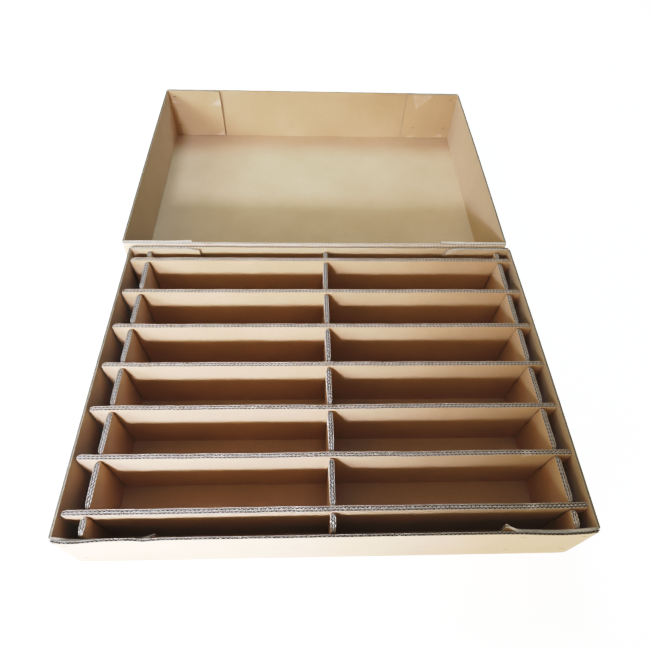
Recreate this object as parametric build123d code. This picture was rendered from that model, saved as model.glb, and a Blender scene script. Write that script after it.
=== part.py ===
from build123d import *

import os

# A full-depth telescoping carton for bottles that lie on their sides, in millimetres, +Z up.
# The origin is the middle of the base tray's underside. +X runs along the bottles and +Y runs
# away from the front wall. The lid is off: it lies open side up on the floor behind the base.
# Each tray is folded from one blank, and its corner flaps are stapled inside its end walls.

# Board and folds
board = 4.0               # single-wall corrugated board of both trays
double_board = 8.0        # double-wall corrugated board of the partition
fold_radius = 0.5         # inside radius of a fold
flap_slit = 0.2           # air between a corner flap and the wall outside it
flap_lift = 1.0           # lower edge of a corner flap above the tray's floor
flap_length = 142.0       # corner flap, from the side wall's outer face to its free end

# What the carton holds
rows = 6                  # bottle cells from front to back
columns = 2               # bottle cells from left to right
cell_length = 346.0       # clear length of one cell, along X
cell_width = 73.6         # clear width of one cell, along Y
divider_height = 126.0    # long dividers, which stand on the floor
left_buffer = 33.5        # empty crush space between the partition's cells and each wall
right_buffer = 22.5
front_buffer = 33.2
back_buffer = 25.2

# Fits of the partition
rim_above_dividers = 4.0  # base rim above the long dividers
cross_below_long = 1.0    # top of the cross dividers below the long ones
left_end_gap = 3.5        # left end of a long divider to the left wall
end_clearance = 0.1       # right end of a long divider to the start of the wall's fold
front_end_gap = 2.0       # near end of a cross divider to the front flaps
back_end_gap = 0.5        # far end of a cross divider to the clinched staples of the back flaps
slot_clearance = 1.5      # slot edge to the board that crosses it, each side
slot_meet_gap = 1.0       # air between the ends of two slots that interlock

# Lid
lid_side_clearance = 1.5  # closed lid to base, each side
lid_gap = 0.8             # lid behind the base, as it lies
lid_shift = -11.0         # lid to the left of the base, as it lies

# Flat-wire staples, four through each corner flap
staple_crown = 10.0       # outside length of the crown, along X
staple_wire = 0.8         # wire thickness
staple_width = 2.0        # wire width, along Z
staple_proud = 0.3        # crown and clinched ends stand this far out of the board
staple_clinch = 4.0       # length of each bent-over end
staple_from_corner = 20.0     # outer pair, from the wall's end
staple_from_flap_end = 32.0   # inner pair, from the flap's free end
staple_from_floor = 38.0      # lower pair, above the tray's underside
staple_from_rim = 16.0        # upper pair, below the rim

# Sizes that follow
long_count = rows + 1
cross_count = columns + 1
outer_radius = fold_radius + board
column_pitch = cell_length + double_board
row_pitch = cell_width + double_board
base_width = 2 * board + left_buffer + columns * column_pitch + double_board + right_buffer
base_length = 2 * board + front_buffer + rows * row_pitch + double_board + back_buffer
base_height = board + divider_height + rim_above_dividers
lid_width = base_width + 2 * (board + lid_side_clearance)
lid_length = base_length + 2 * (board + lid_side_clearance)
lid_height = base_height + board
flap_stack = 2 * board + flap_slit        # end wall, slit and flap together

base_front = -base_length / 2
first_cross_x = -base_width / 2 + board + left_buffer + double_board / 2
first_long_y = base_front + board + front_buffer + double_board / 2
cross_xs = [first_cross_x + column_pitch * i for i in range(cross_count)]
long_ys = [first_long_y + row_pitch * i for i in range(long_count)]


def block(x_range, y_range, z_range):
    """A plain block given by its limits along each axis."""
    lows, highs = zip(x_range, y_range, z_range)
    sizes = [high - low for low, high in zip(lows, highs)]
    return Pos(*lows) * Box(*sizes, align=(Align.MIN, Align.MIN, Align.MIN))


def channel_profile(span, height):
    """Two walls and the floor between them, with a rounded fold at each foot."""
    outer = Pos(0, height / 2) * Rectangle(span, height)
    outer = fillet(outer.vertices().group_by(Axis.Y)[0], outer_radius)
    inner = Pos(0, board + height / 2) * Rectangle(span - 2 * board, height)
    inner = fillet(inner.vertices().group_by(Axis.Y)[0], fold_radius)
    return outer - inner


def end_walls(width, length, height):
    """The floor with the front and back walls, folded up along X."""
    profile = Plane.YZ * channel_profile(length, height)
    sheet = extrude(profile, width / 2, both=True)
    side_fold = width / 2 - outer_radius
    floor_half = length / 2 - outer_radius
    for low, high in ((-width, -side_fold), (side_fold, width)):
        sheet -= block((low, high), (-floor_half, floor_half), (-board, 2 * board))
    return sheet


def side_walls(width, length, height):
    """The floor with the left and right walls, and the corner flaps that fold in from them."""
    straight = length / 2 - board - flap_slit - outer_radius
    profile = Plane.XZ * channel_profile(width, height)
    walls = extrude(profile, straight, both=True)
    plan_length = length - 2 * (board + flap_slit)
    plan = RectangleRounded(width, plan_length, outer_radius)
    plan -= RectangleRounded(width - 2 * board, plan_length - 2 * board, fold_radius)
    plan -= Rectangle(width - 2 * flap_length, length)
    flap_foot = board + flap_lift
    return walls + Pos(0, 0, flap_foot) * extrude(plan, height - flap_foot)


def staple(x, y, z, outward):
    """One staple through an end wall's outer face at y and the flap inside it."""
    depth = flap_stack + 2 * staple_proud
    inner_length = staple_crown - 2 * staple_wire
    wire = Rectangle(staple_crown, depth) - Rectangle(inner_length, depth - 2 * staple_wire)
    clinch_gap = staple_crown - 2 * staple_clinch
    wire -= Pos(0, -outward * depth / 2) * Rectangle(clinch_gap, 3 * staple_wire)
    solid = extrude(wire, staple_width / 2, both=True)
    return Pos(x, y - outward * flap_stack / 2, z) * solid


def flap_staples(width, length, height, left, outward):
    """The four staples of one corner flap, as separate solids."""
    y = outward * length / 2
    distances = (staple_from_corner, flap_length - staple_from_flap_end)
    levels = (staple_from_floor, height - staple_from_rim)
    toward_middle = 1 if left else -1
    return [
        staple(-toward_middle * (width / 2 - distance), y, level, outward)
        for distance in distances
        for level in levels
    ]


def tray(name, width, length, height, place):
    """One folded tray with its four groups of staples, as named nodes."""
    sheet = end_walls(width, length, height) + side_walls(width, length, height)
    nodes = {}
    for end, outward in (("front", -1), ("back", 1)):
        for side, left in (("left", True), ("right", False)):
            staples = flap_staples(width, length, height, left, outward)
            for one in staples:
                sheet -= one
            node = f"{name}_staples_{end}_{side}"
            nodes[node] = Compound([place * one for one in staples])
    nodes[f"{name}_tray"] = place * sheet
    return nodes


def long_divider(y):
    """A divider along X, slotted from below where the cross dividers pass."""
    x_left = -base_width / 2 + board + left_end_gap
    x_right = base_width / 2 - board - fold_radius - end_clearance
    half = double_board / 2
    plate = block((x_left, x_right), (y - half, y + half), (board, board + divider_height))
    slot_half = half + slot_clearance
    slot_top = board + (divider_height + slot_meet_gap) / 2
    for x in cross_xs:
        plate -= block((x - slot_half, x + slot_half), (y - half, y + half), (0, slot_top))
    return plate


def cross_divider(x):
    """A divider along Y, slotted from above where the long dividers pass."""
    flap_face = base_length / 2 - flap_stack
    y_near = -flap_face + front_end_gap
    y_far = flap_face - staple_proud - back_end_gap
    top = board + divider_height - cross_below_long
    half = double_board / 2
    plate = block((x - half, x + half), (y_near, y_far), (board, top))
    slot_half = half + slot_clearance
    slot_floor = board + (divider_height - slot_meet_gap) / 2
    for y in long_ys:
        opening = (y - slot_half, y + slot_half)
        plate -= block((x - half, x + half), opening, (slot_floor, top + board))
    return plate


nodes = tray("base", base_width, base_length, base_height, Pos(0, 0, 0))
lid_place = Pos(lid_shift, (base_length + lid_length) / 2 + lid_gap, 0)
nodes |= tray("lid", lid_width, lid_length, lid_height, lid_place)
for number, y in enumerate(long_ys, start=1):
    nodes[f"long_divider_{number}"] = long_divider(y)
for number, x in enumerate(cross_xs, start=1):
    nodes[f"cross_divider_{number}"] = cross_divider(x)

os.makedirs("parts", exist_ok=True)
for name, shape in nodes.items():
    export_step(shape, f"parts/{name}.step")

print(f"base {base_width:.1f} x {base_length:.1f} x {base_height:.1f}")
print(f"lid {lid_width:.1f} x {lid_length:.1f} x {lid_height:.1f}")
print(f"cells {rows * columns}, nodes {len(nodes)}")
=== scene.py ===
import math

import bmesh
import bpy
import numpy as np
from mathutils import Matrix, Vector


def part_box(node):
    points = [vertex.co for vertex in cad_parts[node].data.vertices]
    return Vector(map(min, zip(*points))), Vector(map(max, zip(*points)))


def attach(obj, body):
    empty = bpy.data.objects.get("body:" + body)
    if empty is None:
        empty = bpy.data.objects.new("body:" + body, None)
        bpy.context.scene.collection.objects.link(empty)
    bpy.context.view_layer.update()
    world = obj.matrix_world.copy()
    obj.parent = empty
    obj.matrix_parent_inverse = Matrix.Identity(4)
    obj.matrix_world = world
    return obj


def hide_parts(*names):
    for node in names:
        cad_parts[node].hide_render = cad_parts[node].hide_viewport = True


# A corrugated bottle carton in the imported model's frame, in metres. Every board is built as paper:
# thin liners with a fluted medium between them, which shows along each edge cut across the flutes.
# A board is laid out flat first: u and v are places on its sheet, h is the height above the sheet's
# first face, and a place function takes the three into the room.

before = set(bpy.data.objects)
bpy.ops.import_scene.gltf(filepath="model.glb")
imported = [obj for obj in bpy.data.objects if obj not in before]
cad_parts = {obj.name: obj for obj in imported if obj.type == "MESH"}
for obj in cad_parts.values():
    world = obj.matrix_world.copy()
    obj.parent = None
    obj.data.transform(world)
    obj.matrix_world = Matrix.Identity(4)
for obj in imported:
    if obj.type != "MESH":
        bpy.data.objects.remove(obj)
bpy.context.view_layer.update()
MM = 0.001

# ---- sizes
BOARD = 4.0 * MM            # single-wall board of the trays
FOLD = 4.5 * MM             # outer radius of a fold
SLIT = 0.2 * MM             # flap to the wall that it is stapled to
FLAP_LIFT = 1.0 * MM        # lower edge of a flap above the tray's floor
FLAP = 142.0 * MM           # corner flap, from the side wall's outer face
SLOT_CLEARANCE = 1.5 * MM   # slot edge to the board that crosses it
SLOT_MEET = 1.0 * MM        # air between the ends of two interlocking slots
LINER = 0.6 * MM            # outer liners, with the burr of their cut edge
MIDDLE_LINER = 0.8 * MM     # between the two fluted rows of double-wall board
MEDIUM = 0.65 * MM          # fluted medium at its cut edge
PITCH = 6.4 * MM            # one flute
TUNNEL = 8.0 * MM           # how far one can look down a flute
END_RECESS = 0.4 * MM       # core behind an edge cut along the flutes
ROW_INSET = 0.5 * MM        # ends of a row of flutes inside the liners' ends
CORE_OVERLAP = 0.1 * MM     # how far a core reaches into the liners beside it
CORE_LIFT = 0.2 * MM        # a divider's core above the floor that the divider stands on
SINGLE_LINERS = [(0.0, LINER), (BOARD - LINER, BOARD)]
SINGLE_ROW = (LINER, BOARD - LINER)
WAVE_STEPS = 10             # points on one flute
ARC_STEPS = 6               # steps on a fold's arc
SHARP = math.radians(40)    # edges that turn by more than this stay sharp

TOOTH_ROUND = 8.0 * MM      # knocked-down length at the ends of a divider's upper edge
TOOTH_DROP = (1.2 * MM, 3.2 * MM)       # least and most
TOOTH_GRID = [1.0 * MM, 2.2 * MM, 3.6 * MM, 5.2 * MM, 7.5 * MM]     # mesh lines near such an end

CUT_REACH = 2.2             # a flap's cut spreads over this many times its depth
CUT_POWER = 9               # how close to the rim the cut stays
TAPER_LENGTH = 105 * MM     # length of the slope of a flap's upper edge

STAPLE_CROWN = 10 * MM      # outside length of a staple's crown
STAPLE_WIRE = 0.8 * MM      # thickness of its flat wire
STAPLE_WIDTH = 2 * MM
STAPLE_CLINCH = 4 * MM      # length of each end that is bent over
STAPLE_SUNK = 0.1 * MM      # middle of the wire below the face that it lies on
STAPLE_BEND = 0.9 * MM      # straight length that each bend of the wire takes up
STAPLE_TILT = 9             # most that a staple is driven askew, in degrees
WIRE_SIDES = 12             # points round the wire

base_low, base_high = (np.array(corner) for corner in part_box("base_tray"))
lid_low, lid_high = (np.array(corner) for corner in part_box("lid_tray"))
LONG = [f"long_divider_{i}" for i in range(1, 8)]
CROSS = [f"cross_divider_{i}" for i in range(1, 4)]

# ---- chance
PHASES = 6.28               # random phases lie between 0 and this
BASE_SEED, LID_SEED = 100, 200
LONG_SEED, CROSS_SEED, NEXT_DIVIDER = 300, 700, 40

# ---- light, floor and camera
FLOOR_REACH = 60.0          # half the side of the floor
FLOOR_DROP = 0.2 * MM       # floor below the trays' undersides
FLOOR_GREY = 0.50
FLOOR_GLOW = 0.85           # what it sends out by itself, so that it shows white

NEAR_WINDOW = (-0.58, -1.58, 1.03)
NEAR_TINT = (0.60, 0.72, 1.0)
LIGHTS = [                  # name, place, target, size, spread in degrees, watts and colour
    ("window_near", NEAR_WINDOW, (-0.5, 0.1, 0.0), (0.20, 0.20), 52, 3.5, NEAR_TINT),
    ("window_middle", NEAR_WINDOW, (0.02, 0.1, 0.0), (0.20, 0.20), 24, 0.34, NEAR_TINT),
    ("window_far", (-1.70, -1.50, 1.03), (-0.45, 0.6, 0.0), (1.30, 0.50), 54, 3.5, (0.63, 0.81, 1.0)),
    ("window_back", (0.0, 1.90, 2.30), (0.0, 0.1, 0.05), (1.0, 1.0), 180, 25.0, (0.41, 0.76, 1.0)),
    ("sky", (0.0, 0.30, 2.50), (0.0, 0.1, 0.05), (1.2, 2.5), 180, 16.0, (0.34, 0.49, 1.0)),
]
ROOM_SLOPE = (-0.20, -0.18, 0.0)    # the room is brighter to the left and in front
ROOM_LEVEL = 0.38
ROOM_CHANGE = (0.10, 0.30)          # heights, as sines, between which its colour changes
ROOM_LOW = (0.95, 0.97, 1.0)
ROOM_HIGH = (1.0, 0.82, 0.40)

CAMERA_X = -32.9 * MM
CAMERA_Y = base_low[1] - 164.2 * MM
CAMERA_Z = 877.5 * MM
CAMERA_TURN = (3.751, 54.413, -2.978)   # to the right, down, about the line of sight, in degrees
LENS = 27.77                # millimetres, on a sensor of SENSOR
SENSOR = 36.0

WHITE = 1.15                # scene light that shows as pure white
RESPONSE = [                # scene light and what it shows as
    (0.05, 0.022), (0.10, 0.072), (0.20, 0.24), (0.30, 0.43), (0.40, 0.60), (0.60, 0.79),
    (0.80, 0.90), (1.00, 0.97),
]


# ---- numbers
def middle(node, axis):
    """The middle of a node's box along an axis."""
    low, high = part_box(node)
    return (low[axis] + high[axis]) / 2


def centres(values):
    """The middles between neighbouring values."""
    return (values[1:] + values[:-1]) / 2


def smooth(value, start, end):
    """0 before start, 1 after end, and an S-curve between them."""
    t = np.clip((value - start) / (end - start), 0, 1)
    return t * t * (3 - 2 * t)


def hump(value, centre, width):
    """1 at the centre, falling smoothly to 0 on both sides."""
    return np.exp(-(((value - centre) / width) ** 2))


def ripple(value, seed, wavelength):
    """Smooth uneven waviness between about -1 and 1: four sine waves of random phase."""
    lowest, step, jitter = 0.7, 0.45, 0.3
    rng = np.random.RandomState(seed)
    total = np.zeros_like(value, dtype=float)
    for number in range(4):
        scale = lowest + step * number + jitter * rng.rand()
        total += np.sin(2 * math.pi * value * scale / wavelength + PHASES * rng.rand())
    return total / 3


def spread(start, end, step):
    """Evenly spaced values from start to end, about step apart."""
    count = max(1, int(round(abs(end - start) / step)))
    return list(np.linspace(start, end, count + 1))


def with_breaks(start, end, step, breaks):
    """Grid values from start to end that include each break."""
    marks = [start, *sorted(breaks), end]
    values = [start]
    for a, b in zip(marks, marks[1:]):
        values += spread(a, b, step)[1:]
    return np.array(values)


def quarter_circle(corner, before, after, radius):
    """Points on the arc that replaces a square corner between two directions."""
    before = before / np.linalg.norm(before)
    after = after / np.linalg.norm(after)
    centre = corner + radius * (before + after)
    points = []
    for k in range(ARC_STEPS + 1):
        angle = math.pi / 2 * k / ARC_STEPS
        points.append(centre + radius * (math.cos(angle) * -after + math.sin(angle) * -before))
    return points


class BentPath:
    """A polyline whose corners are rounded, measured along itself.

    Steps gives the spacing of the points on each straight, and inside is 1 or -1, for the side
    that heights above the path are taken to."""

    def __init__(self, corners, radius, steps, inside):
        corners = [np.array(corner, float) for corner in corners]
        stretches = [[corners[0]]]
        for before, corner, after in zip(corners, corners[1:], corners[2:]):
            stretches.append(quarter_circle(corner, before - corner, after - corner, radius))
        stretches.append([corners[-1]])
        line = [corners[0]]
        for stretch, step in zip(stretches[1:], steps):
            begin, finish = line[-1], stretch[0]
            count = max(1, int(round(np.linalg.norm(finish - begin) / step)))
            line += [begin + (finish - begin) * k / count for k in range(1, count + 1)]
            line += stretch[1:]
        self.line = np.array(line)
        tangent = np.gradient(self.line, axis=0)
        tangent /= np.linalg.norm(tangent, axis=1)[:, None]
        self.normal = np.c_[-tangent[:, 1], tangent[:, 0]] * inside
        self.marks = np.r_[0, np.cumsum(np.linalg.norm(np.diff(self.line, axis=0), axis=1))]
        self.total = self.marks[-1]

    def at(self, distance, height):
        """The two coordinates of points along the path and at a height above it."""
        return [
            np.interp(distance, self.marks, self.line[:, axis])
            + height * np.interp(distance, self.marks, self.normal[:, axis])
            for axis in (0, 1)
        ]

    def core_marks(self):
        """The places along the path that a core needs, which ends down the flutes."""
        inside = (self.marks > TUNNEL) & (self.marks < self.total - TUNNEL)
        return np.r_[TUNNEL, self.marks[inside], self.total - TUNNEL]


# ---- mesh building
# The core slot holds the painted shade of the flutes' hollows, and the groove slot that of a flute left
# open along a rim.
LINER_SLOT, EDGE_SLOT, HOLLOW_SHADE_SLOT, GROOVE_SHADE_SLOT = 0, 1, 2, 3


# A core is a solid filler in place of the hollow flutes, and its dark colour is painted shade.
def core(row):
    """The heights of a core that fills a row of flutes and reaches into the liners beside it."""
    return row[0] - CORE_OVERLAP, row[1] + CORE_OVERLAP


def new_piece(name, points, faces, materials):
    mesh = bpy.data.meshes.new(name)
    mesh.from_pydata(points.tolist(), [], faces)
    mesh.update()
    mesh.polygons.foreach_set("use_smooth", [True] * len(faces))
    for material in materials:
        mesh.materials.append(material)
    piece = bpy.data.objects.new(name, mesh)
    bpy.context.scene.collection.objects.link(piece)
    return piece


def tidy_mesh(piece):
    """Drops points that no face uses, turns the shells outward and keeps sharp edges sharp."""
    work = bmesh.new()
    work.from_mesh(piece.data)
    bmesh.ops.delete(work, geom=[v for v in work.verts if not v.link_faces], context="VERTS")
    bmesh.ops.recalc_face_normals(work, faces=work.faces)
    for edge in work.edges:
        if len(edge.link_faces) == 2 and edge.calc_face_angle(0) > SHARP:
            edge.smooth = False
    work.to_mesh(piece.data)
    work.free()
    piece.data.update()


class Paper:
    """The mesh of one board: closed shells with flat-sheet coordinates and a mask of pale marks:
    scuffs, and on the trays' flaps also painted highlights.
    """

    def __init__(self):
        self.points, self.sheets, self.faces, self.slots = [], [], [], []
        self.count = 0

    def add(self, points, sheets, faces, slots):
        self.points.append(points)
        self.sheets.append(sheets)
        self.faces += [tuple(int(i) + self.count for i in face) for face in faces]
        self.slots += slots
        self.count += len(points)

    def slab(self, place, us, vs, layer, keep=None, slot=LINER_SLOT, rims=None):
        """A closed plate between a layer's two heights, over the kept cells of a grid.

        Its rim is a cut edge, or what rims says for each interval of v, but a core's ends across v
        lie deep down the flutes and get the painted shade of the hollows."""
        us, vs = np.asarray(us, float), np.asarray(vs, float)
        nu, nv = len(us), len(vs)
        keep = np.ones((nu - 1, nv - 1), bool) if keep is None else keep
        rims = [EDGE_SLOT] * (nv - 1) if rims is None else rims
        u, v = (grid.ravel() for grid in np.meshgrid(us, vs, indexing="ij"))
        points = [place(u, v, np.full_like(u, h)) for h in layer]
        sheets = [np.c_[u, v, np.full_like(u, h)] for h in layer]
        index = np.arange(nu * nv).reshape(nu, nv)
        top = nu * nv
        faces, slots = [], []
        for i, j in np.argwhere(keep):
            a, b, c, d = index[i, j], index[i + 1, j], index[i + 1, j + 1], index[i, j + 1]
            faces += [(a, d, c, b), (a + top, b + top, c + top, d + top)]
            slots += [slot, slot]
            sides = [(i, j - 1, a, b), (i + 1, j, b, c), (i, j + 1, c, d), (i - 1, j, d, a)]
            for m, n, p, q in sides:
                inside = 0 <= m < nu - 1 and 0 <= n < nv - 1 and keep[m, n]
                if not inside:
                    faces.append((p, q, q + top, p + top))
                    deep = slot == HOLLOW_SHADE_SLOT and m == i
                    # A core's ends across v get the hollows' painted shade.
                    slots.append(HOLLOW_SHADE_SLOT if deep else rims[j])
        self.add(np.vstack(points), np.vstack(sheets), faces, slots)

    def flutes(self, place, start, end, edge, inward, row, seed):
        """The wavy medium of a row, from an edge at v = edge inward down its flutes."""
        drift, drift_length = 0.5, 60 * MM
        uneven, uneven_length = 0.05, 30 * MM
        steep_gain = 0.75
        recess_least, recess_more, recess_length = 0.15, 0.2, 20 * MM
        rng = np.random.RandomState(seed)
        waves = max(1, int(round((end - start) / PITCH)))
        n = waves * WAVE_STEPS + 1
        u = np.linspace(start, end, n)
        phase = 2 * math.pi * waves * (u - start) / (end - start) + PHASES * rng.rand()
        phase += drift * ripple(u, seed, drift_length)
        reach = (row[1] - row[0] - MEDIUM) / 2
        unevenness = 1 + uneven * ripple(u, seed + 1, uneven_length)
        wave = (row[0] + row[1]) / 2 + reach * np.sin(phase) * unevenness
        half = MEDIUM / 2 * (1 + steep_gain * np.abs(np.cos(phase)))
        recess = (recess_least + recess_more * np.abs(ripple(u, seed + 2, recess_length))) * MM
        near, far = edge + inward * recess, np.full(n, edge + inward * TUNNEL)
        rings = [(near, wave - half), (near, wave + half), (far, wave + half), (far, wave - half)]
        points = np.vstack([place(u, v, h) for v, h in rings])
        sheets = np.vstack([np.c_[u, v, h] for v, h in rings])
        faces = [(0, n, 2 * n, 3 * n), (4 * n - 1, 3 * n - 1, 2 * n - 1, n - 1)]
        slots = [EDGE_SLOT, EDGE_SLOT]
        for k in range(4):
            m = (k + 1) % 4
            faces += [(k * n + i, k * n + i + 1, m * n + i + 1, m * n + i) for i in range(n - 1)]
            # The medium's cut face is an edge, and its other faces get the hollows' painted shade.
            slots += [EDGE_SLOT if k == 0 else HOLLOW_SHADE_SLOT] * (n - 1)
        self.add(points, sheets, faces, slots)

    def build(self, name, settle, wear, materials):
        """Makes the object: settle bends the points, and the mark function gives how pale each point is
        made:
        by scuffing, and on the trays' flaps also by painted highlight.
        """
        points = np.vstack(self.points)
        piece = new_piece(name, settle(points), self.faces, materials)
        mesh = piece.data
        flat = mesh.attributes.new("sheet", "FLOAT_VECTOR", "POINT")
        flat.data.foreach_set("vector", np.vstack(self.sheets).astype(np.float32).ravel())
        paling = mesh.attributes.new("wear", "FLOAT", "POINT")
        paling.data.foreach_set("value", wear(points).astype(np.float32))
        mesh.polygons.foreach_set("material_index", self.slots)
        tidy_mesh(piece)
        return piece


# ---- materials
def new_material(name):
    """A material with its shader, and the graph that feeds it."""
    material = bpy.data.materials.new(name)
    material.use_nodes = True
    graph = Graph(material.node_tree)
    graph.tree.nodes.clear()
    out = graph.node("ShaderNodeOutputMaterial")
    shader = graph.node("ShaderNodeBsdfPrincipled")
    graph.link(shader.outputs["BSDF"], out.inputs["Surface"])
    return material, shader, graph


def shade(colour, share):
    return tuple(share * part for part in colour)


class Graph:
    """Short calls for the few kinds of node that the materials and the room use."""

    def __init__(self, tree):
        self.tree = tree

    def node(self, kind, **settings):
        node = self.tree.nodes.new(kind)
        for key, value in settings.items():
            setattr(node, key, value)
        return node

    def link(self, source, target):
        self.tree.links.new(source, target)

    def fill(self, socket, value):
        """Sets a number or a colour on a socket, or links another node's output to it."""
        if isinstance(value, (int, float)):
            socket.default_value = value
        elif isinstance(value, tuple):
            socket.default_value = (*value, 1.0)
        else:
            self.link(value, socket)

    def coordinates(self, kind):
        return self.node("ShaderNodeTexCoord").outputs[kind]

    def attribute(self, name, output):
        return self.node("ShaderNodeAttribute", attribute_name=name).outputs[output]

    def vector_maths(self, operation, vector, numbers, output):
        node = self.node("ShaderNodeVectorMath", operation=operation)
        self.link(vector, node.inputs[0])
        node.inputs[1].default_value = numbers
        return node.outputs[output]

    def part(self, vector, axis):
        node = self.node("ShaderNodeSeparateXYZ")
        self.link(vector, node.inputs["Vector"])
        return node.outputs[axis]

    def noise(self, vector, scale, detail=3.0, rough=0.55):
        node = self.node("ShaderNodeTexNoise")
        self.link(vector, node.inputs["Vector"])
        for key, number in (("Scale", scale), ("Detail", detail), ("Roughness", rough)):
            node.inputs[key].default_value = number
        return node.outputs["Fac"]

    def maths(self, operation, a, b=0.0):
        node = self.node("ShaderNodeMath", operation=operation)
        for socket, value in zip(node.inputs, (a, b)):
            self.fill(socket, value)
        return node.outputs["Value"]

    def ramp(self, value, low, high, start=0.0, end=1.0):
        node = self.node("ShaderNodeMapRange")
        self.link(value, node.inputs["Value"])
        for key, number in zip(("From Min", "From Max", "To Min", "To Max"), (low, high, start, end)):
            node.inputs[key].default_value = number
        return node.outputs["Result"]

    def mix(self, factor, a, b):
        node = self.node("ShaderNodeMix", data_type="RGBA")
        for key, value in (("Factor", factor), ("A", a), ("B", b)):
            self.fill(node.inputs[key], value)
        return node.outputs["Result"]

    def bump(self, height, strength, distance, below=None):
        node = self.node("ShaderNodeBump")
        node.inputs["Strength"].default_value = strength
        node.inputs["Distance"].default_value = distance
        self.link(height, node.inputs["Height"])
        if below is not None:
            self.link(below, node.inputs["Normal"])
        return node.outputs["Normal"]


def kraft(name, colour, dark, torn_and_lit):
    """Kraft liner: blotches, long fibres, specks, a faint print of the flutes and pale spots, which are
    scuffs and, on the trays' flaps, also painted highlights.
    """
    material, shader, g = new_material(name)
    place, sheet = g.coordinates("Object"), g.attribute("sheet", "Vector")
    blotch = g.noise(place, scale=9.0, detail=4.0)
    cloud = g.noise(place, scale=55.0)
    along_flutes = g.vector_maths("MULTIPLY", sheet, (900.0, 110.0, 0.0), "Vector")
    fibre = g.noise(along_flutes, scale=1.0, detail=4.0, rough=0.7)
    grain = g.noise(place, scale=2600.0, detail=2.0, rough=0.6)
    specks = g.ramp(g.noise(place, scale=1500.0, detail=1.0), 0.72, 0.84)
    wave = g.maths("SINE", g.maths("MULTIPLY", g.part(sheet, "X"), 2 * math.pi / PITCH))
    tone = g.mix(g.ramp(blotch, 0.3, 0.7), colour, dark)
    tone = g.mix(g.ramp(cloud, 0.35, 0.75, end=0.22), tone, dark)
    tone = g.mix(g.ramp(fibre, 0.35, 0.75, end=0.30), tone, shade(dark, 0.72))
    tone = g.mix(g.maths("MULTIPLY", specks, 0.30), tone, shade(dark, 0.35))
    tone = g.mix(g.ramp(wave, -1.0, 1.0, end=0.04), tone, shade(dark, 0.6))
    marked = g.attribute("wear", "Fac")
    paling = g.maths("ADD", marked, g.ramp(cloud, 0.3, 0.7, start=-0.25, end=0.25))
    paling = g.ramp(paling, 0.30, 0.95, end=0.70)
    paling = g.maths("MULTIPLY", paling, g.ramp(marked, 0.02, 0.2))
    g.link(g.mix(paling, tone, torn_and_lit), shader.inputs["Base Color"])
    g.link(g.ramp(grain, 0.3, 0.7, start=0.74, end=0.92), shader.inputs["Roughness"])
    g.fill(shader.inputs["Specular IOR Level"], 0.22)
    g.fill(shader.inputs["Sheen Weight"], 0.30)
    g.fill(shader.inputs["Sheen Roughness"], 0.6)
    flute_print = g.bump(wave, 0.06, 0.35 * MM)
    fibre_bump = g.bump(fibre, 0.25, 0.12 * MM, flute_print)
    g.link(g.bump(grain, 0.22, 0.08 * MM, fibre_bump), shader.inputs["Normal"])
    return material


def cut_edge(name, colour, dark, crushed_and_lit):
    """Cut edges of the liners and the medium: greyish, fuzzy, and paler where they are crushed and, on
    the trays' flaps, where painted highlight falls.
    """
    material, shader, g = new_material(name)
    place = g.coordinates("Object")
    patch = g.noise(place, scale=160.0, detail=4.0)
    fuzz = g.noise(place, scale=1800.0, rough=0.7)
    tone = g.mix(g.ramp(patch, 0.3, 0.7), colour, dark)
    tone = g.mix(g.ramp(fuzz, 0.35, 0.8, end=0.5), tone, shade(dark, 0.55))
    marked = g.ramp(g.attribute("wear", "Fac"), 0.1, 0.8)
    marked = g.maths("MULTIPLY", marked, g.ramp(patch, 0.2, 0.6, start=0.4))
    g.link(g.mix(marked, tone, crushed_and_lit), shader.inputs["Base Color"])
    g.fill(shader.inputs["Roughness"], 0.92)
    g.fill(shader.inputs["Specular IOR Level"], 0.12)
    g.link(g.bump(fuzz, 0.5, 0.2 * MM), shader.inputs["Normal"])
    return material


def flute_shade(name, colour, dark):
    """Painted shade for the inside of the flutes, far from light: the medium darkened to a dull brown,
    with a little mottle.
    """
    material, shader, g = new_material(name)
    mottle = g.noise(g.coordinates("Object"), scale=300.0)
    g.link(g.mix(g.ramp(mottle, 0.3, 0.7), colour, dark), shader.inputs["Base Color"])
    g.fill(shader.inputs["Roughness"], 0.95)
    g.fill(shader.inputs["Specular IOR Level"], 0.1)
    g.link(g.bump(mottle, 0.3, 0.2 * MM), shader.inputs["Normal"])
    return material


def coppered_wire(name, colour, dark, tarnished):
    """Flat coppered wire: brushed along its length, dulled and a little tarnished."""
    material, shader, g = new_material(name)
    place = g.coordinates("Object")
    along_wire = g.vector_maths("MULTIPLY", place, (200.0, 2500.0, 2500.0), "Vector")
    brushed = g.noise(along_wire, scale=1.0)
    tarnish = g.noise(place, scale=300.0)
    tone = g.mix(g.ramp(brushed, 0.3, 0.7), colour, dark)
    tone = g.mix(g.ramp(tarnish, 0.5, 0.75, end=0.6), tone, tarnished)
    g.link(tone, shader.inputs["Base Color"])
    g.fill(shader.inputs["Metallic"], 0.85)
    g.link(g.ramp(tarnish, 0.3, 0.7, start=0.32, end=0.55), shader.inputs["Roughness"])
    g.link(g.bump(brushed, 0.2, 0.05 * MM), shader.inputs["Normal"])
    return material


# Pale colours of torn and crushed board, also used for the painted highlights on the trays' flaps.
TORN_AND_LIT = (0.70, 0.55, 0.43)
CRUSHED_AND_LIT = (0.66, 0.57, 0.48)
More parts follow.
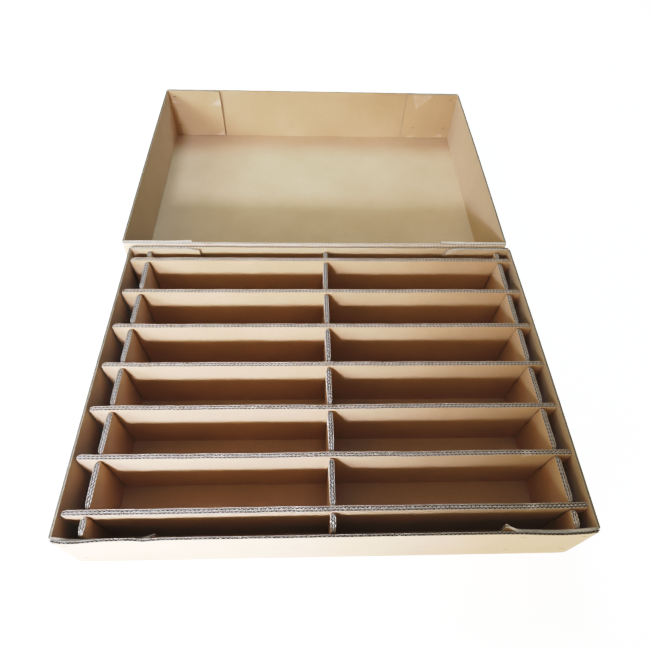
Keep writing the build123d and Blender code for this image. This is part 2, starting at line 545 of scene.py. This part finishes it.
# Each paper's materials stand in the order of the slots' numbers.
tray_paper = [
    kraft("kraft_liner", (0.60, 0.430, 0.275), (0.54, 0.380, 0.225), TORN_AND_LIT),
    cut_edge("tray_cut_edge", (0.52, 0.45, 0.37), (0.38, 0.33, 0.27), CRUSHED_AND_LIT),
    # The hollow and the groove are painted shade: the medium darkened where a flute lies out of the
    # light.
    flute_shade("tray_hollow", (0.21, 0.16, 0.115), (0.14, 0.105, 0.075)),
    flute_shade("tray_groove", (0.28, 0.23, 0.17), (0.19, 0.155, 0.115)),
]
divider_paper = [
    kraft("divider_liner", (0.63, 0.43, 0.26), (0.57, 0.38, 0.215), TORN_AND_LIT),
    cut_edge("divider_cut_edge", (0.60, 0.52, 0.45), (0.45, 0.38, 0.32), CRUSHED_AND_LIT),
    # Painted shade of the dividers' flute hollows.
    flute_shade("divider_hollow", (0.31, 0.25, 0.185), (0.235, 0.185, 0.135)),
]
wire = coppered_wire("coppered_wire", (0.50, 0.38, 0.25), (0.33, 0.25, 0.17), (0.14, 0.10, 0.07))


# ---- dividers
def double_wall(thickness):
    """The heights of a double-wall board's three liners and of the two fluted rows between them."""
    low = thickness / 2 - MIDDLE_LINER / 2
    high = thickness / 2 + MIDDLE_LINER / 2
    liners = [(0.0, LINER), (low, high), (thickness - LINER, thickness)]
    rows = [(LINER, low), (high, thickness - LINER)]
    return liners, rows


class Divider:
    """A double-wall board that stands on edge, with upright flutes and a slot at each crossing.

    It runs along one axis, and slots gives where other boards cross it. Slots that are cut from
    above leave its upper edge as a row of teeth. A dent is a place along that edge, with its width
    and its depth."""

    def __init__(self, node, along, slots, from_below, seed, dents):
        low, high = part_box(node)
        self.node, self.along, self.across = node, along, 1 - along
        self.slots, self.from_below, self.seed, self.dents = slots, from_below, seed, dents
        self.start, self.end = low[along], high[along]
        self.floor, self.top = low[2], high[2]
        self.face, self.other_face = low[self.across], high[self.across]
        self.thickness = self.other_face - self.face
        self.slot_half = self.thickness / 2 + SLOT_CLEARANCE
        past_middle = SLOT_MEET / 2 if from_below else -SLOT_MEET / 2
        self.slot_end = self.floor + (self.top - self.floor) / 2 + past_middle
        ends = [self.start, self.end]
        if not from_below:
            ends[1:1] = self.slot_edges(0.0)
        self.teeth = list(zip(ends[::2], ends[1::2]))
        rng = np.random.RandomState(seed)
        self.drops = [(rng.uniform(*TOOTH_DROP), rng.uniform(*TOOTH_DROP)) for _ in self.teeth]

    def slot_edges(self, margin):
        return [slot + side * (self.slot_half + margin) for slot in self.slots for side in (-1, 1)]

    def outside_slots(self, us, vs, margin, slot_end):
        """The cells of a grid that lie outside the slots, widened by a margin and cut to slot_end."""
        middle_u, middle_v = centres(us), centres(vs)
        half = self.slot_half + margin
        in_slot = np.any([np.abs(middle_u - slot) < half for slot in self.slots], axis=0)
        cut = middle_v < slot_end if self.from_below else middle_v > slot_end
        return ~(in_slot[:, None] & cut[None, :])

    def place(self, u, v, h):
        points = np.empty((len(u), 3))
        points[:, self.along] = u
        points[:, self.across] = self.face + h
        points[:, 2] = v
        return points

    def sheets(self):
        """Three liners, and between them two rows of flutes with their cores."""
        paper = Paper()
        liners, rows = double_wall(self.thickness)
        fine = []
        for first, last in self.teeth:
            fine += [first + offset for offset in TOOTH_GRID] + [last - offset for offset in TOOTH_GRID]
        us = with_breaks(self.start, self.end, 14 * MM, self.slot_edges(0.0) + fine)
        vs = with_breaks(self.floor, self.top, 18 * MM, [self.slot_end])
        keep = self.outside_slots(us, vs, 0.0, self.slot_end)
        for layer in liners:
            paper.slab(self.place, us, vs, layer, keep)
        core_end = self.slot_end + (END_RECESS if self.from_below else -TUNNEL)
        core_edges = self.slot_edges(END_RECESS)
        us = with_breaks(self.start + END_RECESS, self.end - END_RECESS, 40 * MM, core_edges)
        vs = with_breaks(self.floor + CORE_LIFT, self.top - TUNNEL, 60 * MM, [core_end])
        keep = self.outside_slots(us, vs, END_RECESS, core_end)
        for row in rows:
            paper.slab(self.place, us, vs, core(row), keep, HOLLOW_SHADE_SLOT)
        for number, row in enumerate(rows):
            for k, (first, last) in enumerate(self.teeth):
                ends = first + ROW_INSET, last - ROW_INSET
                paper.flutes(self.place, *ends, self.top, -1, row, self.seed + 10 * number + k)
        return paper

    def raised(self, points):
        return (points[:, 2] - self.floor) / (self.top - self.floor)

    def rounding(self, u):
        """How far the upper edge drops at each tooth's ends, and 1 right at an end."""
        slack, power = 0.1 * MM, 1.5
        drop, corner = 0.0 * u, 0.0 * u
        for (first, last), (first_drop, last_drop) in zip(self.teeth, self.drops):
            inside = (u >= first - slack) & (u <= last + slack)
            for distance, depth in ((u - first, first_drop), (last - u, last_drop)):
                near = np.where(inside, 1 - smooth(distance, 0, TOOTH_ROUND), 0)
                drop += depth * near ** power
                corner = np.maximum(corner, near)
        return drop, corner

    def settle(self, points):
        """Bends the board a little, more towards its top, and knocks its upper edge about."""
        bow, bow_length = 0.5 * MM, 500 * MM
        buckle, buckle_length = 0.35 * MM, 160 * MM
        chafe, chafe_length = 0.35 * MM, 70 * MM
        worn_from, pinch = 0.90, 0.35
        moved = points.copy()
        u, v = points[:, self.along], points[:, 2]
        free = smooth(self.raised(points), 0.0, 1.0)
        moved[:, self.across] += bow * ripple(u, self.seed, bow_length) * free
        moved[:, self.across] += buckle * ripple(u + v, self.seed + 3, buckle_length) * free
        near_top = smooth(self.raised(points), worn_from, 1.0)
        moved[:, 2] -= near_top * (chafe * (1 + ripple(u, self.seed + 4, chafe_length)))
        drop, corner = self.rounding(u)
        moved[:, 2] -= near_top * drop
        squeeze = (points[:, self.across] - (self.face + self.other_face) / 2) * pinch
        moved[:, self.across] -= squeeze * corner * near_top
        for where, width, depth in self.dents:
            moved[:, 2] -= near_top * depth * hump(u, where, width)
        return moved

    def wear(self, points):
        """Scuffs along the upper edge, at the dents and at the ends of the teeth."""
        dent_spread, dent_from = 1.3, 0.93
        end_scuff, end_from = 0.6, 0.9
        u, raised = points[:, self.along], self.raised(points)
        amount = 0.0 * u
        for where, width, _ in self.dents:
            amount += hump(u, where, dent_spread * width) * smooth(raised, dent_from, 1.0)
        amount += end_scuff * self.rounding(u)[1] * smooth(raised, end_from, 1.0)
        return amount

    def make(self):
        piece = self.sheets().build(self.node + "_paper", self.settle, self.wear, divider_paper)
        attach(piece, "root")
        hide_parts(self.node)


# ---- trays
def inside_triangle(points, corners):
    """How far inside a triangle each point lies, negative outside it."""
    centre = corners.mean(axis=0)
    depths = []
    for a, b in zip(corners, np.roll(corners, -1, axis=0)):
        across = np.array((a[1] - b[1], b[0] - a[0])) / np.linalg.norm(b - a)
        across *= np.sign((centre - a) @ across)
        depths.append((points - a) @ across)
    return np.min(depths, axis=0)


class Tray:
    """One folded tray: its box, and how its corners, walls and flaps are bent and worn.

    Corner is the radius that its upright corners are knocked to. Bows gives each wall's bulge along
    its length, rubbed is how far the front rim is scuffed pale, and the rest is as flap() gives it and
    as the pale triangles on the flaps are listed: partly worn liner, partly painted highlight."""

    def __init__(self, name, low, high, corner, bows, flaps, creases, rubbed, seed):
        self.name, self.corner, self.bows, self.flaps = name, corner, bows, flaps
        self.creases, self.rubbed, self.seed = creases, rubbed, seed
        self.centre = (low + high) / 2
        self.half = (high - low) / 2
        self.rim = high[2]

    def depths(self, points):
        """How far inside each wall's outer face each point lies, for each wall in turn."""
        x, y = points[:, 0] - self.centre[0], points[:, 1] - self.centre[1]
        return {
            "left": x + self.half[0], "right": self.half[0] - x,
            "front": y + self.half[1], "back": self.half[1] - y,
        }

    def round_corners(self, points):
        """Squeezes the upright corners into arcs, more towards the rim, where they are knocked."""
        at_foot = 0.35
        moved = points.copy()
        side = points[:, :2] - self.centre[:2]
        into = np.maximum(np.abs(side) - (self.half[:2] - self.corner), 0)
        length = np.maximum(np.linalg.norm(into, axis=1), 1e-9)
        squeezed = into * (np.max(into, axis=1) / length)[:, None]
        strength = at_foot + (1 - at_foot) * np.clip(points[:, 2] / self.rim, 0, 1) ** 2
        moved[:, :2] -= np.sign(side) * (into - squeezed) * strength[:, None]
        return moved

    def settle(self, points):
        """Bows the walls, wall and flap together, more towards the rim, and makes the rim uneven."""
        rise, near, far = 1.4, 12 * MM, 30 * MM
        rim_band, chafe, chafe_length, slant = 12 * MM, 0.3 * MM, 90 * MM, 1.7
        moved = self.round_corners(points)
        raised = np.clip(points[:, 2] / self.rim, 0, 1) ** rise
        depths = self.depths(points)
        outward = {"left": (0, -1), "right": (0, 1), "front": (1, -1), "back": (1, 1)}
        for wall, (axis, sign) in outward.items():
            share = 1 - smooth(depths[wall], near, far)
            run = points[:, 1 - axis] - self.centre[1 - axis]
            moved[:, axis] += sign * share * raised * self.bows[wall](run, self.half[1 - axis])
        rim = smooth(points[:, 2], self.rim - rim_band, self.rim)
        around = points[:, 0] + slant * points[:, 1]
        moved[:, 2] -= rim * chafe * (1 + ripple(around, self.seed, chafe_length))
        return moved

    def wear(self, points):
        """Pale marks: triangles on the flaps, partly scuffed liner and partly painted highlight where a
        creased corner tilts toward the light, and scuffs on the front rim, the upright corners and the
        feet.
        """
        patch_edge = (-3 * MM, 5 * MM)
        rim_band = 5 * MM
        corner_wear, corner_reach = 0.45, (2 * MM, 7 * MM)
        foot_wear, foot_reach = 0.35, (1 * MM, 5 * MM)
        amount = np.zeros(len(points))
        # Each triangle is made paler, partly as worn liner and partly as painted highlight of a creased
        # corner tilted to the light.
        for y, corners, strength in self.creases:
            near = np.abs(points[:, 1] - y) < BOARD
            inside = inside_triangle(points[:, [0, 2]], corners)
            amount += strength * near * smooth(inside, *patch_edge)
        depths = self.depths(points)
        in_front = 1 - smooth(depths["front"], BOARD, 3 * BOARD)
        amount += self.rubbed * in_front * smooth(points[:, 2], self.rim - rim_band, self.rim)
        beside = np.maximum(np.minimum(depths["left"], depths["right"]), 0)
        ahead = np.maximum(np.minimum(depths["front"], depths["back"]), 0)
        amount += corner_wear * (1 - smooth(np.hypot(beside, ahead), *corner_reach))
        foot = np.hypot(np.min(list(depths.values()), axis=0), points[:, 2])
        amount += foot_wear * (1 - smooth(foot, *foot_reach))
        return amount

    def make(self):
        paper = Paper()
        self.end_walls(paper)
        for side in (-1, 1):
            self.side_wall(paper, side)
            self.side_fold(paper, side)
        piece = paper.build(self.name + "_tray_paper", self.settle, self.wear, tray_paper)
        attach(piece, "root")
        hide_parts(self.name + "_tray")

    def end_walls(self, paper):
        """Front wall, floor and back wall: one strip, with flutes that rise to both rims."""
        cx, cy = self.centre[:2]
        hx, hy = self.half[:2]
        profile = [(cy - hy, self.rim), (cy - hy, 0), (cy + hy, 0), (cy + hy, self.rim)]
        path = BentPath(profile, FOLD, (15 * MM, 15 * MM, 15 * MM), 1)
        wall = self.rim - FOLD + math.pi / 2 * FOLD

        def place(u, v, h):
            y, z = path.at(v, h)
            return np.c_[u, y, z]

        def outside_notches(us, vs, recess):
            """The cells that aren't on the floor under the side walls' folds."""
            beside = np.abs(centres(us) - cx) > hx - FOLD - recess
            on_floor = (centres(vs) > wall - recess) & (centres(vs) < path.total - wall + recess)
            return ~(beside[:, None] & on_floor[None, :])

        us = with_breaks(-hx, hx, 14 * MM, [-hx + FOLD, hx - FOLD]) + cx
        keep = outside_notches(us, path.marks, 0.0)
        for layer in SINGLE_LINERS:
            paper.slab(place, us, path.marks, layer, keep)
        cuts = [-hx + FOLD + END_RECESS, hx - FOLD - END_RECESS]
        us = with_breaks(-hx + END_RECESS, hx - END_RECESS, 30 * MM, cuts) + cx
        vs = path.core_marks()
        paper.slab(place, us, vs, core(SINGLE_ROW), outside_notches(us, vs, END_RECESS), HOLLOW_SHADE_SLOT)
        ends = cx - hx + ROW_INSET, cx + hx - ROW_INSET
        paper.flutes(place, *ends, 0.0, 1, SINGLE_ROW, self.seed + 1)
        paper.flutes(place, *ends, path.total, -1, SINGLE_ROW, self.seed + 2)

    def side_wall(self, paper, side):
        """A side wall with its two corner flaps: one sheet, with flutes that run level.

        Along its rim the wall is cut through a hollow flute, which gets painted shade, and the flaps'
        rims are crushed."""
        cx, cy = self.centre[:2]
        hx = self.half[0]
        inner = self.half[1] - BOARD - SLIT
        plan = [(-hx + FLAP, -inner), (-hx, -inner), (-hx, inner), (-hx + FLAP, inner)]
        path = BentPath(plan, FOLD, (4 * MM, 12 * MM, 4 * MM), -1)
        name = "left" if side < 0 else "right"
        foot = BOARD + FLAP_LIFT

        def place(u, v, h):
            x, y = path.at(v, h)
            height = np.array(u, float)
            raised = np.clip((u - foot) / (self.rim - foot), 0, 1)
            for end, sign, from_wall in (("front", 1, FLAP - v), ("back", -1, v - path.total + FLAP)):
                bend = self.flaps[f"{end}_{name}"]
                curl = smooth(from_wall, FLAP - bend["bend"], FLAP) * raised ** bend["power"]
                tip = smooth(from_wall, FLAP - CUT_REACH * bend["cut"], FLAP)
                y = y + sign * bend["lean"] * curl
                x = x - bend["cut"] * tip * raised ** CUT_POWER
                slope = smooth(from_wall, 0, TAPER_LENGTH)
                height = height - (bend["taper"] * slope + bend["drop"] * curl) * raised
            return np.c_[cx - side * x, cy + y, height]

        us = spread(foot, self.rim, 5 * MM)
        for layer in SINGLE_LINERS:
            paper.slab(place, us, path.marks, layer)
        us = spread(foot + ROW_INSET, self.rim - END_RECESS, 25 * MM)
        vs = path.core_marks()
        on_wall = np.abs(centres(vs) - path.total / 2) < path.total / 2 - FLAP
        # The open flute along the wall's rim gets the groove's painted shade.
        rims = [GROOVE_SHADE_SLOT if hollow else EDGE_SLOT for hollow in on_wall]
        paper.slab(place, us, vs, core(SINGLE_ROW), None, HOLLOW_SHADE_SLOT, rims)
        ends = foot + END_RECESS, self.rim - END_RECESS
        seed = self.seed + 3 + 2 * (side + 1)
        paper.flutes(place, *ends, 0.0, 1, SINGLE_ROW, seed)
        paper.flutes(place, *ends, path.total, -1, SINGLE_ROW, seed + 1)

    def side_fold(self, paper, side):
        """The fold that joins a side wall to the floor, between the two flaps."""
        cx, cy = self.centre[:2]
        hx = self.half[0]
        profile = [(-hx, BOARD + FLAP_LIFT), (-hx, 0), (-hx + FOLD + 1 * MM, 0)]
        path = BentPath(profile, FOLD, (30 * MM, 1 * MM), 1)
        straight = self.half[1] - BOARD - SLIT - FOLD

        def place(u, v, h):
            x, z = path.at(u, h)
            return np.c_[cx - side * x, cy + v, z]

        vs = spread(-straight, straight, 12 * MM)
        for layer in SINGLE_LINERS:
            paper.slab(place, path.marks, vs, layer)
        paper.slab(place, path.marks, vs, core(SINGLE_ROW), None, HOLLOW_SHADE_SLOT)


# ---- staples
def staple_route(centre, outward):
    """The bent middle line of one staple: clinch, leg, crown, leg, clinch."""
    half = (STAPLE_CROWN - STAPLE_WIRE) / 2
    reach = half - STAPLE_CLINCH
    x, y, z = centre
    inside = y - outward * (2 * BOARD + SLIT - 2 * STAPLE_SUNK)
    route = [
        (x - reach, inside), (x - half, inside), (x - half, y), (x + half, y),
        (x + half, inside), (x + reach, inside),
    ]
    return [np.array((a, b, z)) for a, b in route]


def softened(route):
    """The route with a point before, on and after each bend."""
    fine = [route[0]]
    for before, corner, after in zip(route, route[1:], route[2:]):
        into = corner + (before - corner) / np.linalg.norm(before - corner) * STAPLE_BEND
        out = corner + (after - corner) / np.linalg.norm(after - corner) * STAPLE_BEND
        fine += [into, 0.25 * into + 0.5 * corner + 0.25 * out, out]
    fine.append(route[-1])
    return fine


def wire_section():
    """The flat wire's rounded section, as offsets to the side and up."""
    flat, round_edge = 0.6, 0.4
    section = []
    for k in range(WIRE_SIDES):
        angle = 2 * math.pi * k / WIRE_SIDES
        c, s = math.cos(angle), math.sin(angle)
        side = math.copysign(abs(c) ** flat, c) * STAPLE_WIRE / 2
        rise = math.copysign(abs(s) ** round_edge, s) * STAPLE_WIDTH / 2
        section.append((side, rise))
    return section


def wire_mesh(route, base):
    """The wire swept along a route in a level plane, with its points counted from base."""
    line, section = softened(route), wire_section()
    n, last = len(section), len(line) - 1
    points, faces = [], []
    for i, point in enumerate(line):
        ahead = line[min(i + 1, last)] - line[max(i - 1, 0)]
        ahead /= np.linalg.norm(ahead)
        across = np.array((-ahead[1], ahead[0], 0))
        points += [point + across * side + np.array((0, 0, rise)) for side, rise in section]
    for i in range(last):
        ring = base + i * n
        for k in range(n):
            m = (k + 1) % n
            faces.append((ring + k, ring + m, ring + n + m, ring + n + k))
    faces.append(tuple(base + k for k in reversed(range(n))))
    faces.append(tuple(base + last * n + k for k in range(n)))
    return points, faces


def turned(point, centre, tilt):
    """A point turned about a line along y through centre."""
    dx, dz = point[0] - centre[0], point[2] - centre[2]
    x = centre[0] + dx * math.cos(tilt) - dz * math.sin(tilt)
    z = centre[2] + dx * math.sin(tilt) + dz * math.cos(tilt)
    return np.array((x, point[1], z))


def staples(tray, end, side):
    """The four staples of one flap, a little askew and bent with the wall that they hold."""
    node = f"{tray.name}_staples_{end}_{side}"
    low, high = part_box(node)
    outward = -1 if end == "front" else 1
    y = tray.centre[1] + outward * (tray.half[1] - STAPLE_SUNK)
    points, faces = [], []
    rng = np.random.RandomState(tray.seed + len(node))
    for x in (low[0] + STAPLE_CROWN / 2, high[0] - STAPLE_CROWN / 2):
        for z in (low[2] + STAPLE_WIDTH / 2, high[2] - STAPLE_WIDTH / 2):
            route = staple_route((x, y, z), outward)
            staple, sides = wire_mesh(route, len(points))
            tilt = math.radians(rng.uniform(-STAPLE_TILT, STAPLE_TILT))
            points += [turned(point, (x, y, z), tilt) for point in staple]
            faces += sides
    piece = new_piece(node + "_wire", tray.settle(np.array(points)), faces, [wire])
    tidy_mesh(piece)
    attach(piece, "root")
    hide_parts(node)


# ---- the two trays' bends, wear and painted highlights
# A bow takes places along a wall from its middle and half the wall's length, and gives how far the
# wall's rim bulges outward there.
def side_bow(run, half):
    return 1.0 * MM * np.cos(np.clip(run / half, -1, 1) * math.pi / 2) - 1.0 * MM


def base_front(run, half):
    corner = 3.0 * MM * hump(run, -358 * MM, 34 * MM)
    flap_end = 1.6 * MM * hump(run, -257 * MM, 12 * MM)
    right = 2.6 * MM * hump(run, 330 * MM, 45 * MM)
    return corner + flap_end + right - 0.9 * MM


def base_back(run, half):
    return -0.6 * MM


def lid_front(run, half):
    return -0.8 * MM + 0.5 * MM * hump(run, 0, 200 * MM)


def lid_back(run, half):
    return 0.6 * MM * hump(run, 0, 260 * MM) - 0.6 * MM


def flap(lean, bend, power, taper=0.0, drop=0.0, cut=1.0):
    """A corner flap, in mm: how far its free end leans in, over what length and how sharply with
    height, how much its upper edge slopes down, how far the bent tip drops and how far it is cut
    back."""
    return {
        "lean": lean * MM, "bend": bend * MM, "power": power,
        "taper": taper * MM, "drop": drop * MM, "cut": cut * MM,
    }


base_flaps = {
    "front_left": flap(7.0, 26, 5.0, taper=20),
    "front_right": flap(7.0, 24, 5.0, taper=3, cut=6),
    "back_left": flap(2.5, 28, 1.5, drop=2.5),
    "back_right": flap(5.0, 30, 2.0, drop=2.0, cut=5),
}
lid_flaps = {
    "front_left": flap(1.5, 50, 2.0),
    "front_right": flap(3.0, 45, 3.0, drop=0.5, cut=3),
    "back_left": flap(3.0, 60, 0.6),
    "back_right": flap(1.0, 60, 1.0),
}


def flap_creases(low, high, wanted):
    """Pale triangles on the flaps' inner faces, partly torn or crushed liner and partly painted
    highlight where a creased corner tilts toward the light, from (side, end, corners in mm, strength),
    with each corner given by its distance from the tray's corner and its height."""
    creases = []
    for side, end, corners, strength in wanted:
        edge, inward = (low[0], 1) if side == "left" else (high[0], -1)
        y = low[1] + 2 * BOARD if end == "front" else high[1] - 2 * BOARD
        triangle = [(edge + inward * distance * MM, height * MM) for distance, height in corners]
        creases.append((y, np.array(triangle), strength))
    return creases


# Pale triangles on the flaps: painted highlights of creased corners, with some torn or crushed liner
# among them.
base_creases = flap_creases(base_low, base_high, [
    ("right", "back", [(142, 134), (142, 112), (100, 134)], 0.9),
    ("right", "back", [(60, 134), (20, 134), (50, 120)], 0.5),
    ("left", "front", [(142, 134), (142, 118), (118, 134)], 0.8),
    ("right", "front", [(142, 134), (142, 118), (112, 134)], 0.9),
    ("right", "front", [(50, 134), (14, 134), (26, 122)], 0.8),
])
lid_creases = flap_creases(lid_low, lid_high, [
    ("left", "back", [(142, 5), (112, 5), (142, 26)], 0.9),
    ("left", "back", [(142, 122), (104, 96), (142, 98)], 0.9),
    ("left", "back", [(4, 116), (42, 104), (8, 100)], 0.8),
    ("left", "front", [(142, 138), (100, 138), (130, 118)], 0.6),
    ("right", "back", [(142, 5), (100, 5), (104, 18)], 0.8),
    ("right", "back", [(18, 8), (54, 6), (26, 24)], 0.8),
    ("right", "back", [(130, 138), (60, 138), (112, 92)], 0.62),
    ("right", "back", [(2, 128), (36, 118), (4, 118)], 0.9),
    ("right", "front", [(142, 138), (96, 138), (128, 120)], 0.7),
])

base_tray = Tray(
    "base", base_low, base_high, corner=9.0 * MM,
    bows={"left": side_bow, "right": side_bow, "front": base_front, "back": base_back},
    flaps=base_flaps, creases=base_creases, rubbed=0.0, seed=BASE_SEED,
)
lid_tray = Tray(
    "lid", lid_low, lid_high, corner=5.0 * MM,
    bows={"left": side_bow, "right": side_bow, "front": lid_front, "back": lid_back},
    flaps=lid_flaps, creases=lid_creases, rubbed=0.9, seed=LID_SEED,
)
for tray in (base_tray, lid_tray):
    tray.make()
    for end in ("front", "back"):
        for side in ("left", "right"):
            staples(tray, end, side)

cross_xs = [middle(node, 0) for node in CROSS]
long_ys = [middle(node, 1) for node in LONG]
DENTS = {                   # place, width and depth of each
    "long_divider_1": [(300 * MM, 7 * MM, 1.6 * MM), (-44 * MM, 6 * MM, 1.0 * MM)],
    "long_divider_2": [(312 * MM, 5 * MM, 0.9 * MM)],
    "cross_divider_2": [(-262 * MM, 6 * MM, 1.4 * MM)],
    "cross_divider_3": [(-262 * MM, 8 * MM, 1.6 * MM)],
}
for number, node in enumerate(LONG):
    seed = LONG_SEED + NEXT_DIVIDER * number
    Divider(node, 0, cross_xs, from_below=True, seed=seed, dents=DENTS.get(node, ())).make()
for number, node in enumerate(CROSS):
    seed = CROSS_SEED + NEXT_DIVIDER * number
    Divider(node, 1, long_ys, from_below=False, seed=seed, dents=DENTS.get(node, ())).make()


# ---- the studio
def pale_floor():
    corners = FLOOR_REACH * np.array([(-1, -1, 0), (1, -1, 0), (1, 1, 0), (-1, 1, 0)])
    material, shader, g = new_material("studio_floor")
    g.fill(shader.inputs["Base Color"], (FLOOR_GREY, FLOOR_GREY, FLOOR_GREY))
    g.fill(shader.inputs["Roughness"], 0.9)
    g.fill(shader.inputs["Emission Color"], (1.0, 1.0, 1.0))
    g.fill(shader.inputs["Emission Strength"], FLOOR_GLOW)
    floor = new_piece("studio_floor", corners, [(0, 1, 2, 3)], [material])
    floor.location.z = -FLOOR_DROP


def room():
    """The light of a room whose warm walls are brighter to the left and in front."""
    world = bpy.data.worlds.new("studio")
    world.use_nodes = True
    g = Graph(world.node_tree)
    direction = g.coordinates("Generated")
    towards = g.vector_maths("DOT_PRODUCT", direction, ROOM_SLOPE, "Value")
    raised = g.ramp(g.part(direction, "Z"), *ROOM_CHANGE)
    background = g.tree.nodes["Background"]
    g.link(g.mix(raised, ROOM_LOW, ROOM_HIGH), background.inputs["Color"])
    g.link(g.maths("ADD", towards, ROOM_LEVEL), background.inputs["Strength"])
    bpy.context.scene.world = world


def area_light(name, place, target, size, spread_angle, power, colour):
    data = bpy.data.lights.new(name, "AREA")
    data.shape = "RECTANGLE"
    data.size, data.size_y = size
    data.spread = math.radians(spread_angle)
    data.energy = power
    data.color = colour
    light = bpy.data.objects.new(name, data)
    bpy.context.scene.collection.objects.link(light)
    light.location = place
    light.rotation_euler = (Vector(target) - Vector(place)).to_track_quat("-Z", "Y").to_euler()


def exposure():
    """A camera's response: a straight middle, and highlights that roll off to white."""
    view = bpy.context.scene.view_settings
    view.view_transform = "Standard"
    view.use_curve_mapping = True
    view.curve_mapping.white_level = (WHITE, WHITE, WHITE)
    curve = view.curve_mapping.curves[3]
    for light, shown in RESPONSE:
        curve.points.new(light / WHITE, shown)
    for point in curve.points:
        point.handle_type = "VECTOR"
    view.curve_mapping.update()


def camera():
    """The camera looks down over the front wall, turned a little right and tilted a little."""
    place = Vector((CAMERA_X, CAMERA_Y, CAMERA_Z))
    yaw, pitch, roll = (math.radians(angle) for angle in CAMERA_TURN)
    level = Vector((math.cos(yaw), -math.sin(yaw), 0))
    ahead = Vector((math.sin(yaw), math.cos(yaw), 0))
    forward = math.cos(pitch) * ahead - math.sin(pitch) * Vector((0, 0, 1))
    right = math.cos(roll) * level + math.sin(roll) * forward.cross(level)
    down = forward.cross(right)
    data = bpy.data.cameras.new("camera")
    data.sensor_fit = "HORIZONTAL"
    data.sensor_width = SENSOR
    data.lens = LENS
    data.clip_start = 20 * MM
    eye = bpy.data.objects.new("camera", data)
    bpy.context.scene.collection.objects.link(eye)
    turn = Matrix((right, -down, -forward)).transposed().to_4x4()
    eye.matrix_world = Matrix.Translation(place) @ turn
    bpy.context.scene.camera = eye


pale_floor()
room()
# Daylight comes from windows in front, whose near end throws the sharp shadows, and from behind and
# above.
for light in LIGHTS:
    area_light(*light)
camera()
exposure()
